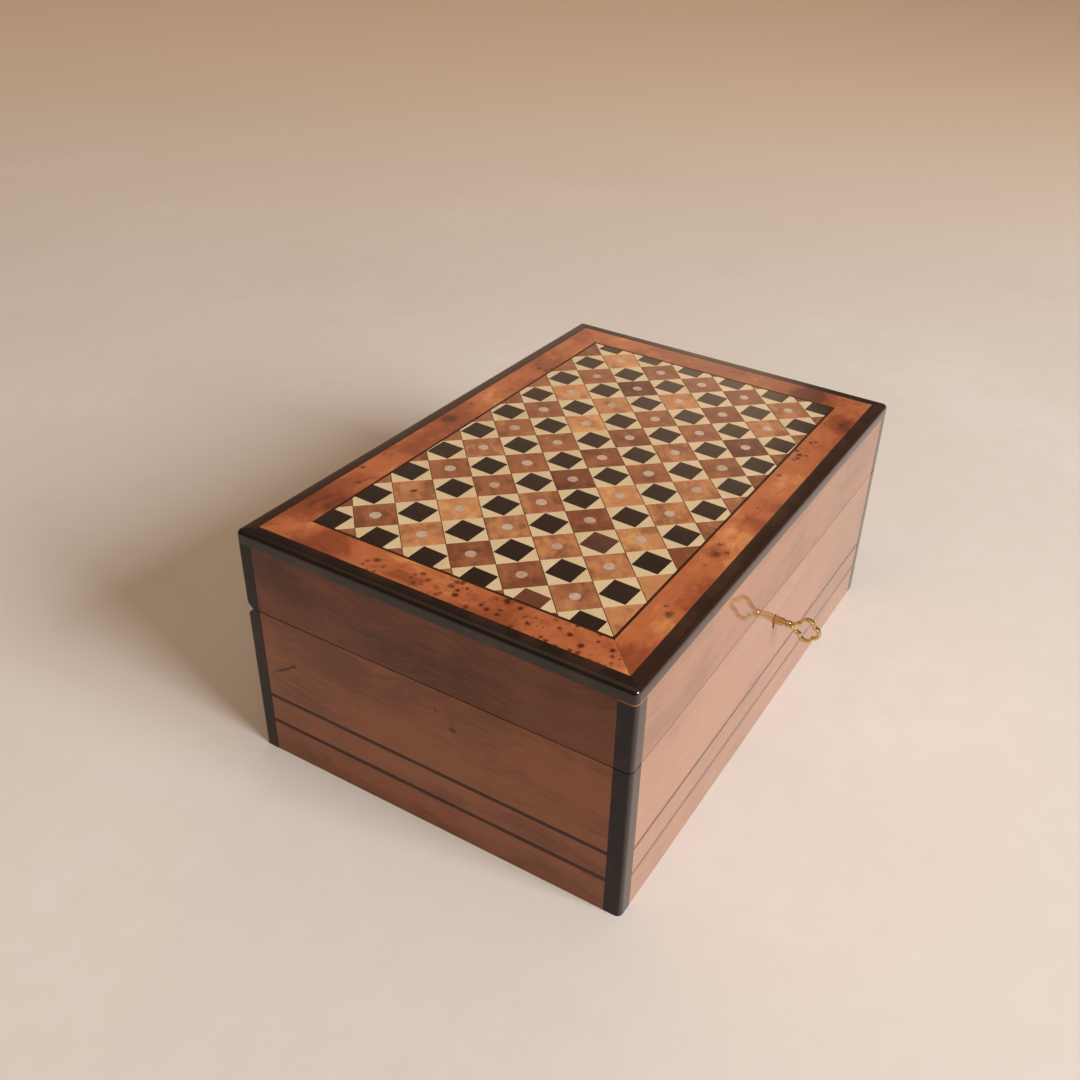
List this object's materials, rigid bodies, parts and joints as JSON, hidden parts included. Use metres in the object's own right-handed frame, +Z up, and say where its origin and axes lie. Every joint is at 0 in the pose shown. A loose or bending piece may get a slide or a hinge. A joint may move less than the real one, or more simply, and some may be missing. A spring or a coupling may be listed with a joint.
{
  "type": "inlaid wooden box",
  "caption": "Lidded wooden jewellery box with geometric marquetry top, ebony corner posts and edging, butt hinges, and a mortised box lock with its brass key.",
  "frame": {"origin": "middle of the underside of the bottom board, on the surface the box stands on", "axes": "+X right along the front, +Y to the hinged back, +Z up; the front with the key faces -Y"},
  "size_m": [0.28, 0.213, 0.118],
  "materials": {
    "thuya": "high-gloss lacquered plain thuya veneer, red brown",
    "thuya_burl": "high-gloss lacquered thuya burl with dark eyes",
    "ebony": "lacquered black-stained wood, softly rounded",
    "marquetry": "lacquered marquetry of thuya, ebony and lemonwood with mother-of-pearl dots",
    "carcass_wood": "satin thuya",
    "brass": "polished brass, lightly worn",
    "spring_steel": "blued spring steel"
  },
  "bodies": {
    "body": {"back_wall": "thuya", "body_hinge_screw_left_1": "brass", "body_hinge_screw_left_2": "brass", "body_hinge_screw_right_1": "brass", "body_hinge_screw_right_2": "brass", "body_post_back_left": "ebony", "body_post_back_right": "ebony", "body_post_front_left": "ebony", "body_post_front_right": "ebony", "bolt_spring": "spring_steel", "bottom_board": "carcass_wood", "front_wall": "thuya", "hinge_leaf_body_left": "brass", "hinge_leaf_body_right": "brass", "hinge_pin_left": "brass", "hinge_pin_right": "brass", "left_wall": "thuya", "lock_case": "brass", "lock_plate": "brass", "lock_screw_1": "brass", "lock_screw_2": "brass", "lower_string_back": "ebony", "lower_string_front": "ebony", "lower_string_left": "ebony", "lower_string_right": "ebony", "right_wall": "thuya", "upper_string_back": "ebony", "upper_string_front": "ebony", "upper_string_left": "ebony", "upper_string_right": "ebony"},
    "lid": {"burl_border_back": "thuya_burl", "burl_border_front": "thuya_burl", "burl_border_left": "thuya_burl", "burl_border_right": "thuya_burl", "edging_back": "ebony", "edging_front": "ebony", "edging_left": "ebony", "edging_right": "ebony", "field_string": "ebony", "hinge_leaf_lid_left": "brass", "hinge_leaf_lid_right": "brass", "lid_board": "carcass_wood", "lid_hinge_screw_left_1": "brass", "lid_hinge_screw_left_2": "brass", "lid_hinge_screw_right_1": "brass", "lid_hinge_screw_right_2": "brass", "lid_post_back_left": "ebony", "lid_post_back_right": "ebony", "lid_post_front_left": "ebony", "lid_post_front_right": "ebony", "lid_rail_back": "thuya", "lid_rail_front": "thuya", "lid_rail_left": "thuya", "lid_rail_right": "thuya", "marquetry_panel": "marquetry", "strike_plate": "brass", "strike_screw_1": "brass", "strike_screw_2": "brass"},
    "key": {"key": "brass"},
    "bolt": {"bolt": "brass"}
  },
  "joints": [
    {"name": "lid_hinge", "type": "hinge", "parent": "body", "child": "lid", "pos_m": [0, 0.091, 0.07885], "axis": [-1, 0, 0], "range_deg": [0, 90]},
    {"name": "key_turn", "type": "hinge", "parent": "body", "child": "key", "pos_m": [0.0012, -0.095, 0.062], "axis": [0, 1, 0], "range_deg": [0, 360]},
    {"name": "bolt_throw", "type": "slide", "parent": "body", "child": "bolt", "axis": [1, 0, 0], "range_m": [0, 0.005]}
  ],
  "couplings": [
    {"joint": "key_turn", "follows": "bolt_throw", "rad_per_m": 1256.6}
  ]
}
